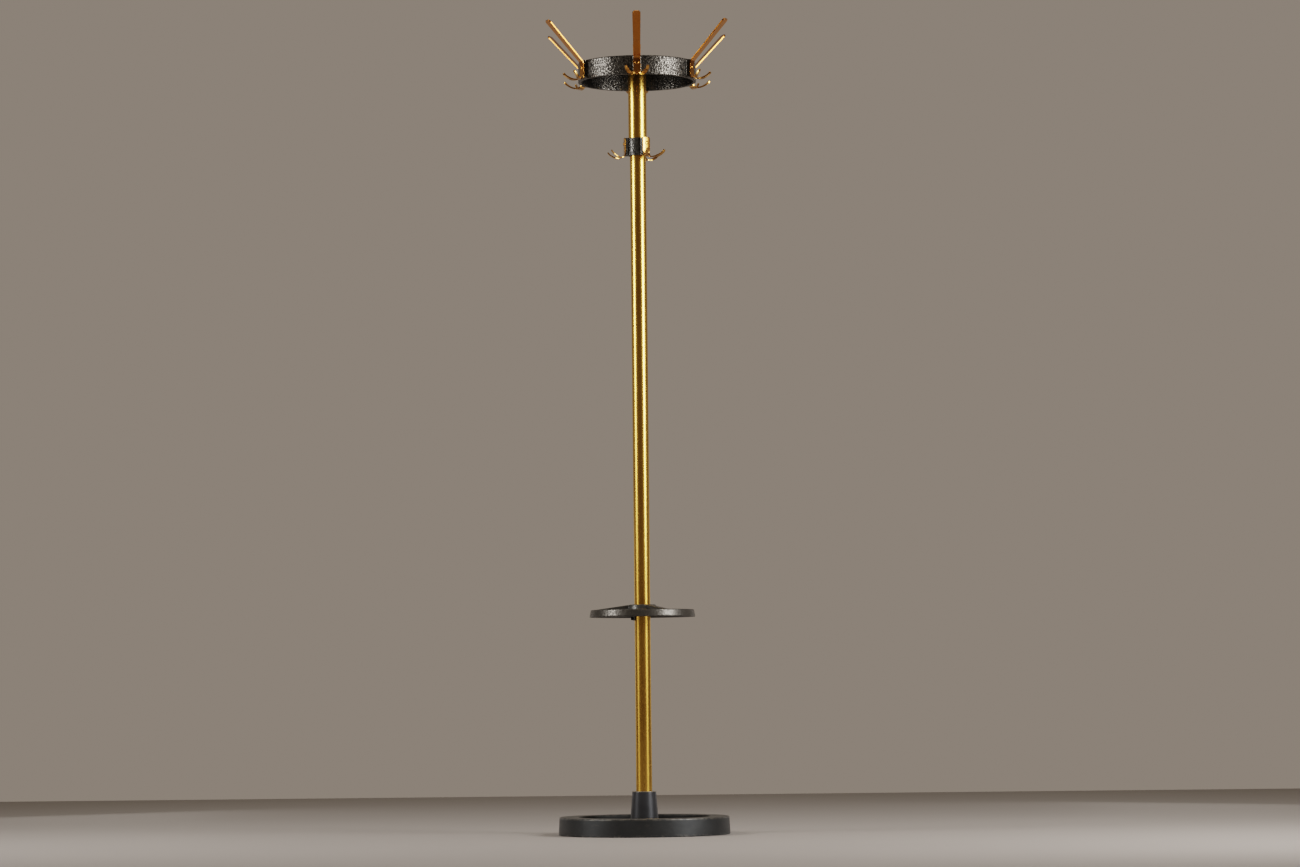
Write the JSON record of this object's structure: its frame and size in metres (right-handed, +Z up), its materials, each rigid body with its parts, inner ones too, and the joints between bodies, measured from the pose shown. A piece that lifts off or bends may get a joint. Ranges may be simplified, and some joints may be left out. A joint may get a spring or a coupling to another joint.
{
  "type": "standing coat rack",
  "caption": "Standing coat rack with a round cast base, a gold pole, a sliding umbrella ring and a turning head of coat and hat hooks.",
  "frame": {"origin": "on the floor at the centre of the round base", "axes": "+Z up along the pole, -Y towards the front hat hook, +X to the viewer's right when seen from the front"},
  "size_m": [0.4006, 0.4552, 1.7824],
  "materials": {
    "base_paint": "matte scuffed dark grey paint on cast iron",
    "socket_paint": "satin blue-black enamel",
    "gold_tube": "satin gold tube",
    "brass": "polished brass strip",
    "hammered_paint": "glossy black hammered enamel",
    "steel": "zinc-plated steel",
    "black_steel": "blackened steel",
    "nylon": "natural nylon",
    "black_plastic": "satin black plastic"
  },
  "bodies": {
    "stand": {"base_casting": "base_paint", "pole_socket": "socket_paint", "base_bolt": "steel", "base_washer": "steel", "foot_plug": "steel", "pole_tube": "gold_tube", "pole_top_plug": "steel", "thrust_washer": "nylon", "pivot_washer": "steel", "pivot_nut": "steel"},
    "head": {"head_sleeve": "gold_tube", "hook_collar": "hammered_paint", "collar_bush": "nylon", "sleeve_bush": "nylon", "bearing_plug": "steel", "top_ring": "hammered_paint", "top_ring_grub_screw": "black_steel", "hub_cap": "black_plastic", "coat_hook_1": "brass", "coat_hook_2": "brass", "coat_hook_3": "brass", "coat_hook_rivet_1": "brass", "coat_hook_rivet_2": "brass", "coat_hook_rivet_3": "brass", "hat_hook_1": "brass", "hat_hook_2": "brass", "hat_hook_3": "brass", "hat_hook_4": "brass", "hat_hook_5": "brass", "hat_hook_6": "brass", "hat_hook_rivet_1": "brass", "hat_hook_rivet_2": "brass", "hat_hook_rivet_3": "brass", "hat_hook_rivet_4": "brass", "hat_hook_rivet_5": "brass", "hat_hook_rivet_6": "brass"},
    "umbrella_holder": {"umbrella_ring": "hammered_paint"},
    "clamp": {"clamp_screw": "black_steel"}
  },
  "joints": [
    {"name": "head_swivel", "type": "hinge", "parent": "stand", "child": "head", "pos_m": [0, 0, 1.664], "axis": [0, 0, 1], "continuous": true},
    {"name": "umbrella_ring_slide", "type": "slide", "parent": "stand", "child": "umbrella_holder", "axis": [0, 0, 1], "range_m": [-0.36, 0.95]},
    {"name": "clamp_screw_turn", "type": "hinge", "parent": "umbrella_holder", "child": "clamp", "pos_m": [-0.02222, -0.00595, 0.473], "axis": [-0.9659, -0.2588, 0], "range_deg": [0, 360]}
  ]
}
